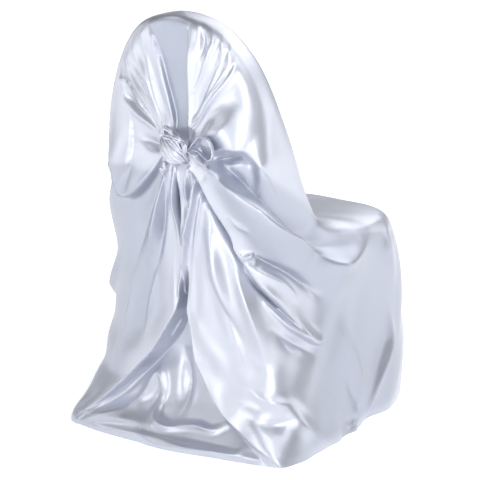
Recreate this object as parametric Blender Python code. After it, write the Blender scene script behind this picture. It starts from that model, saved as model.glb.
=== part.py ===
"""Chair cover of satin, knotted at the rear: one bag of cloth and the knot of its tie.

Row frame in metres: +Z up, the seat's front edge towards -Y, the sitter's right towards -X,
the origin on the floor under the middle of the cover. The chair inside is left out.

The plain cover is a stack of rounded-square loops from the top (level 0) to the hem (level 1).
Its grid of rays and rings starts at the knot, so that folds which run to the knot follow the rays.
Each fold is a ridge, or a trough where its rise is negative, along a curve on the chart of the cover:
girth, which is the way round from the rear centre line with the sitter's right positive, and height.
The tables place the rear face near Y 0.28, and MIDDLE_SHIFT brings the finished cover over the origin.
"""

import bpy
import numpy as np

MILLIMETRE = 0.001
CLOTH_THICKNESS = 0.0025
MIDDLE_SHIFT = np.array([0.0, -0.009, 0.0])
RAYS = 90
RINGS = 29
KNOT_LEVEL = 0.333
KNOT_HEADING = 0.10
KNOT_HEIGHT = 0.648
FIRST_RING = 0.03
BEND_WEIGHT = 0.05
NARROWEST_FOLD = 0.012
SOFTENING = 0.15
CLOTH_COLOUR = (0.72, 0.75, 0.83, 1.0)
CLOTH_ROUGHNESS = 0.35

# Sections of the plain cover in metres, as rows of level, rear z, front z, rear y, front y, half width, taper,
# squareness of the rear corners, squareness of the front corners, and dip of the front towards the rear.
SECTIONS = np.array([
    (0.00, 0.935, 0.935, 0.252, 0.248, 0.000, 0.00, 2.6, 2.6, 0.000),
    (0.04, 0.927, 0.928, 0.277, 0.218, 0.038, 0.00, 2.8, 2.8, 0.000),
    (0.09, 0.907, 0.911, 0.284, 0.203, 0.090, 0.00, 3.0, 3.0, 0.000),
    (0.18, 0.833, 0.842, 0.286, 0.166, 0.156, 0.00, 3.2, 3.2, 0.030),
    (0.27, 0.722, 0.735, 0.286, 0.130, 0.197, 0.00, 3.2, 3.2, 0.048),
    (0.35, 0.620, 0.630, 0.286, 0.082, 0.212, 0.00, 3.2, 3.2, 0.070),
    (0.43, 0.525, 0.530, 0.284, 0.030, 0.216, 0.00, 3.2, 3.2, 0.085),
    (0.49, 0.470, 0.470, 0.282, -0.030, 0.214, 0.00, 3.2, 3.2, 0.085),
    (0.55, 0.415, 0.447, 0.280, -0.150, 0.222, -0.03, 3.4, 3.8, 0.040),
    (0.60, 0.370, 0.440, 0.278, -0.228, 0.230, -0.05, 3.6, 4.6, 0.008),
    (0.64, 0.335, 0.418, 0.277, -0.262, 0.236, -0.04, 3.7, 4.8, 0.000),
    (0.72, 0.255, 0.330, 0.276, -0.292, 0.247, -0.02, 3.8, 4.8, 0.000),
    (0.86, 0.125, 0.160, 0.280, -0.312, 0.262, 0.02, 4.6, 4.6, 0.000),
    (1.00, 0.000, 0.000, 0.302, -0.300, 0.275, 0.09, 9.0, 4.6, 0.000),
])

# Folds in millimetres, as rows of name, girth and height of four points along the fold, rise, start, end,
# peak, left, right and lean. Rise is the fold's height at its peak, which lies at that share of its run.
# Start and end are the shares of the rise at its two ends. Left and right are its widths on each side.
# Lean shifts the crest to the left by that share of the rise, or to the right where it is negative.
FOLDS = [
    ("left fan strip", -61, 913, -35, 845, -9, 771, 12, 690, 22, 0.3, 0.6, 0.4, 9, 18, 0.0),
    ("left fan pleat", -110, 860, -72, 795, -36, 733, -4, 680, 18, 0.2, 0.4, 0.5, 10, 12, 0.0),
    ("left fan rim", -140, 786, -118, 736, -66, 701, -15, 666, 18, 0.1, 0.3, 0.5, 10, 20, 0.0),
    ("right fan strip", 36, 925, 57, 866, 57, 784, 45, 690, 20, 0.3, 0.6, 0.4, 18, 9, 0.0),
    ("right fan pleat", 118, 890, 108, 846, 88, 775, 52, 690, 18, 0.1, 0.4, 0.5, 10, 10, 0.0),
    ("right fan rim", 179, 857, 134, 804, 88, 740, 50, 680, 20, 0.0, 0.4, 0.6, 14, 10, 0.0),
    ("left wing edge", -155, 595, -122, 550, -70, 589, -17, 640, 32, 0.8, 0.3, 0.4, 60, 10, -0.3),
    ("right wing edge", 80, 648, 143, 662, 194, 678, 229, 639, 30, 0.3, 0.0, 0.5, 60, 12, -0.3),
    ("right wing hollow", 107, 638, 150, 630, 185, 610, 205, 580, -20, 0.2, 0.0, 0.4, 18, 16, 0.0),
    ("right wing lip", 208, 678, 234, 652, 244, 620, 240, 585, 16, 0.0, 0.0, 0.4, 34, 16, 0.0),
    ("swag rim", 70, 650, 231, 512, 399, 396, 592, 422, 56, 0.3, 0.2, 0.6, 14, 60, 0.1),
    ("swag trough", 83, 618, 267, 504, 457, 402, 665, 419, -14, 0.1, 0.2, 0.6, 30, 12, 0.0),
    ("second fold", 84, 604, 173, 458, 287, 332, 420, 225, 26, 0.2, 0.0, 0.6, 34, 10, -0.3),
    ("fold under it", 106, 473, 188, 386, 298, 293, 425, 203, -18, 0.0, 0.0, 0.5, 12, 24, 0.0),
    ("left sheet crease", -23, 632, -61, 534, -100, 426, -152, 312, -12, 0.5, 0.0, 0.4, 10, 30, 0.0),
    ("left flap ridge 1", 0, 625, -35, 542, -69, 435, -105, 305, 18, 0.3, 0.0, 0.5, 12, 12, 0.0),
    ("left flap ridge 2", 18, 621, -7, 511, -29, 404, -59, 277, 20, 0.4, 0.0, 0.5, 12, 20, 0.0),
    ("gap of the flaps", 19, 609, 18, 540, 18, 478, 16, 424, -24, 0.4, 0.2, 0.4, 9, 9, 0.0),
    ("right flap ridge", 76, 603, 59, 522, 44, 432, 33, 330, 26, 0.5, 0.5, 0.5, 14, 10, 0.0),
    ("right flap swell", 117, 551, 137, 457, 170, 336, 216, 190, 20, 0.2, 0.1, 0.5, 22, 28, 0.0),
    ("right flap valley", 144, 451, 198, 319, 247, 223, 280, 127, -14, 0.0, 0.0, 0.5, 18, 18, 0.0),
    ("right facet", 203, 380, 249, 311, 291, 243, 302, 185, 20, 0.1, 0.0, 0.5, 10, 24, 0.0),
    ("left flap edge", 20, 414, -18, 265, -119, 142, -228, 27, 18, 0.0, 0.3, 0.4, 9, 36, 0.3),
    ("right flap edge", 30, 415, 45, 251, 131, 107, 264, 7, 20, 0.0, 0.3, 0.4, 40, 9, -0.3),
    ("lower panel bend", -99, 137, -65, 118, -63, 73, -38, 34, 20, 0.2, 0.3, 0.5, 14, 24, 0.0),
    ("lower panel roll", -50, 41, -5, 33, 42, 38, 109, 49, 16, 0.4, 0.0, 0.4, 14, 12, 0.0),
    ("rear hem flare", -262, 4, -90, 4, 70, 4, 262, 4, 30, 0.6, 0.1, 0.35, 45, 45, 0.0),
    ("lower panel hollow", -27, 168, 0, 122, 40, 93, 71, 78, -16, 0.0, 0.0, 0.6, 20, 20, 0.0),
    ("right skirt 1", 450, 304, 520, 179, 545, 90, 520, 22, 14, 0.0, 0.6, 0.6, 26, 22, 0.0),
    ("right skirt 2", 712, 241, 730, 152, 690, 91, 650, 27, 18, 0.0, 0.5, 0.5, 20, 20, 0.0),
    ("right skirt 3", 268, 145, 340, 78, 421, 31, 480, 12, 14, 0.0, 0.2, 0.5, 22, 18, 0.0),
    ("left swag rim", -200, 560, -290, 462, -430, 388, -600, 424, 40, 0.0, 0.2, 0.5, 60, 12, -0.3),
    ("left second fold", -180, 420, -270, 320, -380, 240, -480, 190, 18, 0.0, 0.0, 0.5, 12, 34, 0.0),
    ("right hem dip", 560, 2, 620, 3, 680, 3, 760, 2, -16, 0.0, 0.0, 0.5, 30, 30, 0.0),
    ("left skirt 1", -470, 280, -520, 180, -540, 90, -530, 10, 14, 0.0, 0.7, 0.6, 24, 24, 0.0),
    ("left skirt 2", -690, 260, -710, 160, -700, 80, -680, 10, 16, 0.0, 0.6, 0.6, 22, 22, 0.0),
    ("front skirt 1", 880, 330, 900, 220, 890, 110, 900, 10, 12, 0.0, 0.8, 0.7, 26, 26, 0.0),
    ("front skirt 2", -890, 340, -910, 220, -930, 110, -925, 10, 14, 0.0, 0.8, 0.7, 28, 28, 0.0),
    ("front skirt 3", -1010, 250, -1020, 170, -1010, 80, -1020, 10, 10, 0.0, 0.8, 0.7, 22, 22, 0.0),
    ("front skirt 4", 1000, 280, 990, 190, 1010, 90, 1000, 10, 10, 0.0, 0.8, 0.7, 22, 22, 0.0),
]

# The recessed panel between the two fans, and the lower rear panel between the two flaps, as rows of
# height, left edge, right edge and depth.
UPPER_PANEL = np.array([
    (0.655, 0.022, 0.030, 0.000),
    (0.700, 0.010, 0.050, 0.018),
    (0.770, -0.006, 0.060, 0.020),
    (0.845, -0.036, 0.058, 0.020),
    (0.900, -0.066, 0.040, 0.014),
    (0.935, -0.080, 0.030, 0.006),
])
LOWER_PANEL = np.array([
    (0.000, -0.262, 0.258, 0.000),
    (0.030, -0.225, 0.210, 0.004),
    (0.075, -0.178, 0.155, 0.026),
    (0.130, -0.129, 0.110, 0.046),
    (0.202, -0.060, 0.066, 0.056),
    (0.300, 0.002, 0.037, 0.044),
    (0.360, 0.016, 0.034, 0.018),
    (0.410, 0.022, 0.032, 0.000),
])
# Rays as shares of a full turn, with the angle in degrees that each takes at six reaches from the knot.
# The second and third pairs of rays run along the free edges of the left and the right flap.
GUIDE_REACHES = np.array([0.0, 0.30, 0.45, 0.62, 0.80, 1.0])
GUIDES = np.array([
    (-0.50, -180, -180, -180, -180, -180, -180),
    (-0.17, -52, -24, -22, -41, -64, -83),
    (-0.14, -40, -15, -13, -32, -57, -77),
    (-0.11, -30, -10, -8, -25, -50, -69),
    (0.03, 30, 20, 16, 25, 42, 66),
    (0.06, 40, 25, 21, 33, 49, 74),
    (0.09, 52, 34, 29, 40, 56, 81),
    (0.50, 180, 180, 180, 180, 180, 180),
])
PANEL_EDGE = 0.014
GATHER_RISE = 0.014
GATHER_RADIUS = 0.055

KNOT_CENTRE = np.array([-0.014, 0.3165, 0.650])
KNOT_HALF_SIZE = np.array([0.027, 0.016, 0.029])
KNOT_ROWS = 15
KNOT_COLUMNS = 26
# The looped end of the tie, as a path of centres with the half height and half thickness of its sections.
LOOP_PATH = np.array([
    (-0.046, 0.3200, 0.651, 0.0030, 0.0030),
    (-0.055, 0.3210, 0.655, 0.0075, 0.0050),
    (-0.069, 0.3225, 0.661, 0.0150, 0.0070),
    (-0.085, 0.3230, 0.663, 0.0200, 0.0080),
    (-0.101, 0.3220, 0.660, 0.0195, 0.0075),
    (-0.114, 0.3205, 0.655, 0.0130, 0.0055),
    (-0.120, 0.3195, 0.652, 0.0045, 0.0030),
])
LOOP_SIDES = 18


def ease(share):
    """Rises smoothly from 0 to 1 as the share goes from 0 to 1."""
    share = np.clip(share, 0.0, 1.0)
    return share * share * (3.0 - 2.0 * share)


def smooth_rows(rows, values, at):
    """Values of a table at each place, on smooth curves that never overshoot its rows."""
    gap = np.diff(rows)[:, None]
    slope = np.diff(values, axis=0) / gap
    before, after = slope[:-1], slope[1:]
    same_way = before * after > 0
    safe_before = np.where(same_way, before, 1.0)
    safe_after = np.where(same_way, after, 1.0)
    weight_1 = 2.0 * gap[1:] + gap[:-1]
    weight_2 = gap[1:] + 2.0 * gap[:-1]
    mean_slope = (weight_1 + weight_2) / (weight_1 / safe_before + weight_2 / safe_after)
    tangent = np.vstack([slope[:1], np.where(same_way, mean_slope, 0.0), slope[-1:]])
    row = np.clip(np.searchsorted(rows, at, side="right") - 1, 0, len(rows) - 2)
    t = ((at - rows[row]) / (rows[row + 1] - rows[row]))[..., None]
    span = (rows[row + 1] - rows[row])[..., None]
    low = values[row] * (2 * t**3 - 3 * t**2 + 1) + tangent[row] * span * (t**3 - 2 * t**2 + t)
    high = values[row + 1] * (3 * t**2 - 2 * t**3) + tangent[row + 1] * span * (t**3 - t**2)
    return low + high


def section_at(level):
    """Section of the plain cover at each level."""
    return smooth_rows(SECTIONS[:, 0], SECTIONS[:, 1:], level)


def plain_cover(level, heading):
    """Points of the cover without folds. Heading 0 faces the rear and a quarter turn the sitter's right."""
    section = np.moveaxis(section_at(level), -1, 0)
    z_rear, z_front, y_rear, y_front, half_width, taper, corner_rear, corner_front, dip = section
    cos, sin = np.cos(heading), np.sin(heading)
    corner = np.where(cos >= 0, corner_rear, corner_front)
    reach = (np.abs(cos) ** corner + np.abs(sin) ** corner) ** (-1.0 / corner)
    across, along = sin * reach, cos * reach
    x = -half_width * (1.0 + taper * along) * across
    y = (y_rear + y_front) / 2 + (y_rear - y_front) / 2 * along
    y = y + dip * np.clip(-along, 0, 1) ** 2 * (1.0 - across**2)
    z = z_front + (z_rear - z_front) * (along + 1.0) / 2
    return np.stack([x, y, z], axis=-1)


def level_and_heading(ray, reach):
    """Moves the centre of the round grid from the top of the cover to the knot."""
    pole = KNOT_LEVEL * np.exp(1j * KNOT_HEADING)
    spot = reach * np.exp(1j * ray)
    moved = (spot + pole) / (1.0 + np.conj(pole) * spot)
    return np.abs(moved), np.angle(moved)


def ray_grid():
    """Ray angle and reach of each grid point, rings from the knot to the hem.

    The guides steer the rays along the free edges of the flaps. Rings take even steps along the cloth,
    closer where the plain cover bends.
    """
    share = np.arange(RAYS) / RAYS - 0.5
    fine = np.linspace(FIRST_RING, 1.0, 400)
    guide_angles = smooth_rows(GUIDE_REACHES, GUIDES[:, 1:].T, fine)
    angles = np.radians(smooth_rows(GUIDES[:, 0], guide_angles.T, share).T)
    points = plain_cover(*level_and_heading(angles, fine[:, None]))
    step = np.diff(points, axis=0)
    length = np.linalg.norm(step, axis=-1)
    direction = step / np.maximum(length, 1e-9)[..., None]
    turn = np.linalg.norm(np.diff(direction, axis=0, prepend=direction[:1]), axis=-1)
    effort = length + BEND_WEIGHT * turn
    effort = (np.roll(effort, 1, axis=1) + effort + np.roll(effort, -1, axis=1)) / 3
    total = np.vstack([np.zeros(RAYS), np.cumsum(effort, axis=0)])
    total = total / total[-1]
    wanted = np.linspace(0.0, 1.0, RINGS) ** 1.1
    reach = np.stack([np.interp(wanted, total[:, k], fine) for k in range(RAYS)], axis=1)
    angle = np.stack([np.interp(reach[:, k], fine, angles[:, k]) for k in range(RAYS)], axis=1)
    return angle, reach


def chart_of(points, level, heading):
    """Girth and height of each point."""
    section = section_at(level)
    y_rear, half_width = section[..., 2], section[..., 4]
    side = -points[..., 0]
    across = np.where(np.cos(heading) >= 0, np.abs(side), 2 * half_width - np.abs(side))
    girth = y_rear - points[..., 1] + across
    return np.where(side >= 0, girth, -girth), points[..., 2]


def outward(points):
    """Unit normals of a grid of points that closes round on itself."""
    round_way = np.roll(points, -1, axis=1) - np.roll(points, 1, axis=1)
    hem_way = np.gradient(points, axis=0)
    normal = np.cross(hem_way, round_way)
    return normal / np.maximum(np.linalg.norm(normal, axis=-1, keepdims=True), 1e-12)


def fold_curve(corners):
    """Smooth curve through the four chart points of a fold."""
    first = 2 * corners[:1] - corners[1:2]
    last = 2 * corners[-1:] - corners[-2:-1]
    line = np.vstack([first, corners, last])
    t = np.linspace(0.0, 1.0, 9)[:-1, None]
    pieces = []
    for k in range(len(corners) - 1):
        a, b, c, d = line[k:k + 4]
        curve = 2 * b + (c - a) * t
        curve = curve + (2 * a - 5 * b + 4 * c - d) * t**2 + (3 * b - a - 3 * c + d) * t**3
        pieces.append(0.5 * curve)
    return np.vstack(pieces + [corners[-1:]])


def nearest_on_curve(chart, curve):
    """Signed distance to a curve, left positive, the share along it there, and the left direction."""
    start = curve[:-1]
    run = np.diff(curve, axis=0)
    length = np.linalg.norm(run, axis=1)
    way = run / length[:, None]
    offset = chart[..., None, :] - start
    travel = np.clip((offset * way).sum(-1), 0.0, length)
    miss = offset - travel[..., None] * way
    gap = np.linalg.norm(miss, axis=-1)
    best = np.argmin(gap, axis=-1)[..., None]
    before = np.concatenate([[0.0], np.cumsum(length)[:-1]])
    share = (before + travel) / length.sum()
    cross = way[:, 0] * miss[..., 1] - way[:, 1] * miss[..., 0]
    signed = np.where(cross >= 0, gap, -gap)
    left = np.stack([-way[:, 1], way[:, 0]], axis=-1)
    signed = np.take_along_axis(signed, best, axis=-1)[..., 0]
    share = np.take_along_axis(share, best, axis=-1)[..., 0]
    return signed, share, left[best[..., 0]]


def fold_push(chart, row):
    """Push of one fold along the normal, and its shift over the chart."""
    corners = np.array(row[1:9]).reshape(4, 2) * MILLIMETRE
    rise, start, end, peak, left_width, right_width, lean = row[9:]
    distance, share, left = nearest_on_curve(chart, fold_curve(corners))
    fade_in = start + (1.0 - start) * ease(share / peak)
    fade_out = end + (1.0 - end) * ease((1.0 - share) / (1.0 - peak))
    height = rise * MILLIMETRE * fade_in * fade_out
    width = np.where(distance >= 0, left_width, right_width) * MILLIMETRE
    width = np.maximum(width, NARROWEST_FOLD)
    push = height * np.exp(-((distance / width) ** 2))
    near_crest = np.exp(-((distance / 0.02) ** 2))
    return push, left * (height * lean * near_crest)[..., None]


def panel_push(chart, rows):
    """Inward push of a panel that lies deeper than the cloth beside it."""
    girth, height = chart[..., 0], chart[..., 1]
    left, right, depth = [np.interp(height, rows[:, 0], rows[:, k]) for k in (1, 2, 3)]
    inside = ease((girth - left) / PANEL_EDGE + 0.5) * ease((right - girth) / PANEL_EDGE + 0.5)
    within = (height >= rows[0, 0]) & (height <= rows[-1, 0])
    return -depth * inside * within


def soften(grid):
    """Blends each point a little with its neighbours, which keeps two faces of thin cloth apart in a fold."""
    round_way = (np.roll(grid, 1, axis=1) + np.roll(grid, -1, axis=1)) / 2
    soft = grid + SOFTENING * (round_way - grid)
    hem_way = (soft[:-2] + soft[2:]) / 2
    soft[1:-1] += SOFTENING * (hem_way - soft[1:-1])
    return soft


def folded_cover():
    """Grid of points of the cover with its folds, rings from the knot to the hem."""
    angle, reach = ray_grid()
    level, heading = level_and_heading(angle, reach)
    plain = plain_cover(level, heading)
    normal = outward(plain)
    chart = np.stack(chart_of(plain, level, heading), axis=-1)
    at_rear = plain[..., 1] > 0.22
    push = panel_push(chart, LOWER_PANEL) + panel_push(chart, UPPER_PANEL) * at_rear
    from_knot = (chart[..., 0] - 0.01) ** 2 + (chart[..., 1] - KNOT_HEIGHT) ** 2
    push += GATHER_RISE * np.exp(-from_knot / GATHER_RADIUS**2)
    shift = np.zeros(chart.shape)
    for row in FOLDS:
        one_push, one_shift = fold_push(chart, row)
        push += one_push
        shift += one_shift
    free = ease((reach - FIRST_RING) / 0.05)
    up = np.array([0.0, 0.0, 1.0]) - normal * normal[..., 2:]
    up /= np.maximum(np.linalg.norm(up, axis=-1, keepdims=True), 1e-6)
    round_way = np.cross(up, normal)
    steady = ease((plain[..., 2] - 0.01) / 0.03)
    moved = plain + normal * (push * free)[..., None]
    moved += (round_way * shift[..., :1] + up * shift[..., 1:]) * (free * steady)[..., None]
    moved = soften(moved)
    moved[..., 2] = np.maximum(moved[..., 2], 0.0)
    moved[-1, :, 2] = 0.0
    return moved


def mesh_object(name, points, faces, colour):
    """Object from points and faces with its own material, shaded smooth."""
    mesh = bpy.data.meshes.new(name)
    mesh.from_pydata((points + MIDDLE_SHIFT).tolist(), [], faces)
    mesh.shade_smooth()
    thing = bpy.data.objects.new(name, mesh)
    bpy.context.scene.collection.objects.link(thing)
    material = bpy.data.materials.new(name)
    material.use_nodes = True
    shader = material.node_tree.nodes["Principled BSDF"]
    shader.inputs["Base Color"].default_value = colour
    shader.inputs["Roughness"].default_value = CLOTH_ROUGHNESS
    mesh.materials.append(material)
    return thing


def band_faces(first, second, columns):
    """Quads between two closed rows of points, given by the number of each row's first point."""
    faces = []
    for k in range(columns):
        after = (k + 1) % columns
        faces.append((first + k, second + k, second + after, first + after))
    return faces


def cover_cloth():
    """The bag: outer and inner faces of the cloth, joined at the hem and closed behind the knot."""
    outer = folded_cover()
    inner = outer - outward(outer) * CLOTH_THICKNESS
    inner[-1, :, 2] = 0.0
    inner[:-1, :, 2] = np.maximum(inner[:-1, :, 2], 0.001)
    rings, rays = outer.shape[:2]
    count = rings * rays
    outer_centre = outer[0].mean(axis=0)
    inner_centre = outer_centre - np.array([0.0, CLOTH_THICKNESS, 0.0])
    points = np.vstack([outer.reshape(-1, 3), inner.reshape(-1, 3), outer_centre, inner_centre])
    faces = []
    for ring in range(rings - 1):
        faces += band_faces(ring * rays, (ring + 1) * rays, rays)
        faces += band_faces(count + (ring + 1) * rays, count + ring * rays, rays)
    faces += band_faces(count - rays, 2 * count - rays, rays)
    for k in range(rays):
        after = (k + 1) % rays
        faces.append((2 * count, k, after))
        faces.append((2 * count + 1, count + after, count + k))
    return mesh_object("cover_cloth", points, faces, CLOTH_COLOUR)


def closed_lump(name, rows, first_tip, last_tip):
    """Solid from closed rows of points between two tips."""
    count, columns = rows.shape[:2]
    points = np.vstack([rows.reshape(-1, 3), first_tip, last_tip])
    faces = []
    for row in range(count - 1):
        faces += band_faces(row * columns, (row + 1) * columns, columns)
    last = (count - 1) * columns
    for k in range(columns):
        after = (k + 1) % columns
        faces.append((count * columns, k, after))
        faces.append((count * columns + 1, last + after, last + k))
    return mesh_object(name, points, faces, CLOTH_COLOUR)


def tie_knot():
    """The knot: a lump with strands that wrap it from upper left to lower right."""
    tilts = np.linspace(0, np.pi, KNOT_ROWS)[1:-1]
    turns = np.arange(KNOT_COLUMNS) / KNOT_COLUMNS * 2 * np.pi
    tilt, turn = np.meshgrid(tilts, turns, indexing="ij")
    direction = np.stack([np.sin(tilt) * np.cos(turn), np.sin(tilt) * np.sin(turn), np.cos(tilt)], axis=-1)
    slant = direction @ np.array([0.60, 0.20, 0.77])
    swell = 1.0 + 0.12 * np.cos(6.0 * slant) + 0.10 * direction[..., 2] ** 2
    rows = KNOT_CENTRE + direction * swell[..., None] * KNOT_HALF_SIZE
    tip = np.array([0.0, 0.0, KNOT_HALF_SIZE[2] * 1.12])
    return closed_lump("tie_knot", rows, KNOT_CENTRE + tip, KNOT_CENTRE - tip)


def tie_loop():
    """The end of the tie, a flat loop that stands out of the knot to the sitter's right."""
    turns = np.arange(LOOP_SIDES) / LOOP_SIDES * 2 * np.pi
    ring = np.stack([np.zeros(LOOP_SIDES), np.cos(turns), np.sin(turns)], axis=-1)
    size = np.stack([np.zeros(len(LOOP_PATH)), LOOP_PATH[:, 4], LOOP_PATH[:, 3]], axis=-1)
    rows = LOOP_PATH[:, None, :3] + ring * size[:, None]
    reach = np.array([0.003, 0.0, 0.0])
    return closed_lump("tie_loop", rows, LOOP_PATH[0, :3] + reach, LOOP_PATH[-1, :3] - reach)


for old in list(bpy.data.objects):
    bpy.data.objects.remove(old)

cover_cloth()
tie_knot()
tie_loop()
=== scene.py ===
"""Looks of the satin chair cover that is gathered into a knot behind the chair's back.

The cloth is one sheet on a grid of rays and rings round the knot. It is laid over a stack of
rounded-square loops, and each fold is a ridge or a trough along a curve on the cover's chart: girth,
which is the way round from the rear centre line with the sitter's right positive, and height.
The tables place the rear face near Y 0.28, and MIDDLE_SHIFT brings everything over the frame's origin.
"""

import bpy
import numpy as np
from bpy.props import FloatProperty, FloatVectorProperty, IntProperty, PointerProperty
from mathutils import Matrix, Vector


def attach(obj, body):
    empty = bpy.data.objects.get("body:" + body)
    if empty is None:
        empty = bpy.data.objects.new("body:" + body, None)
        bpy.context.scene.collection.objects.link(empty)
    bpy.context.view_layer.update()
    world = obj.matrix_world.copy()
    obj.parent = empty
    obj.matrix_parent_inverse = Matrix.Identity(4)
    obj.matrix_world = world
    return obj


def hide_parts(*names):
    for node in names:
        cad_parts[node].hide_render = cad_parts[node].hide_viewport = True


bl_info = {
    "name": "Satin Chair Cover",
    "version": (1, 0, 0),
    "blender": (4, 5, 0),
    "location": "View3D > Sidebar > Chair Cover",
    "description": "Builds a satin chair cover gathered into a knot, and its studio",
    "category": "Object",
}

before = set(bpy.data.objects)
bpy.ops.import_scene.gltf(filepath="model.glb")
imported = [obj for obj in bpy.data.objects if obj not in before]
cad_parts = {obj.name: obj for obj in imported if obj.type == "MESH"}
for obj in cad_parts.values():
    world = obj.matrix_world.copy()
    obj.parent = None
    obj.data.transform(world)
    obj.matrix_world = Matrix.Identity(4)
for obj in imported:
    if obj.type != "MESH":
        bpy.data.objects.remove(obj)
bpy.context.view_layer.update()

MILLIMETRE = 0.001
MIDDLE_SHIFT = np.array([0.0, -0.009, 0.0])
# The knot on the plain cover: its level and heading, and its height in metres.
KNOT_LEVEL = 0.333
KNOT_HEADING = 0.10
KNOT_HEIGHT = 0.648
# The grid: reach of its first ring, the fine steps along each ray, how much a bend of the cover draws the
# rings together, the rounds of smoothing between the rays, and how much closer the rings lie at the knot.
FIRST_RING = 0.03
FINE_STEPS = 500
BEND_WEIGHT = 0.05
EVENING_ROUNDS = 6
KNOT_CROWDING = 1.1
# Points of the plain cover further to the rear than this are on its rear face.
REAR_FACE = 0.22

# Sections of the plain cover in metres, as rows of level, rear z, front z, rear y, front y, half width,
# taper, squareness of the rear corners and of the front corners, and dip of the front towards the rear.
SECTIONS = np.array([
    (0.00, 0.935, 0.935, 0.252, 0.248, 0.000, 0.00, 2.6, 2.6, 0.000),
    (0.04, 0.927, 0.928, 0.277, 0.218, 0.038, 0.00, 2.8, 2.8, 0.000),
    (0.09, 0.907, 0.911, 0.284, 0.203, 0.090, 0.00, 3.0, 3.0, 0.000),
    (0.18, 0.833, 0.842, 0.286, 0.166, 0.156, 0.00, 3.2, 3.2, 0.030),
    (0.27, 0.722, 0.735, 0.286, 0.130, 0.197, 0.00, 3.2, 3.2, 0.048),
    (0.35, 0.620, 0.630, 0.286, 0.082, 0.212, 0.00, 3.2, 3.2, 0.070),
    (0.43, 0.525, 0.530, 0.284, 0.030, 0.216, 0.00, 3.2, 3.2, 0.085),
    (0.49, 0.470, 0.470, 0.282, -0.030, 0.214, 0.00, 3.2, 3.2, 0.085),
    (0.55, 0.415, 0.447, 0.280, -0.150, 0.222, -0.03, 3.4, 3.8, 0.040),
    (0.60, 0.370, 0.440, 0.278, -0.228, 0.230, -0.05, 3.6, 4.6, 0.008),
    (0.64, 0.335, 0.418, 0.277, -0.262, 0.236, -0.04, 3.7, 4.8, 0.000),
    (0.72, 0.255, 0.330, 0.276, -0.292, 0.247, -0.02, 3.8, 4.8, 0.000),
    (0.86, 0.125, 0.160, 0.280, -0.312, 0.262, 0.02, 4.6, 4.6, 0.000),
    (1.00, 0.000, 0.000, 0.302, -0.300, 0.275, 0.09, 9.0, 4.6, 0.000),
])

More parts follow.
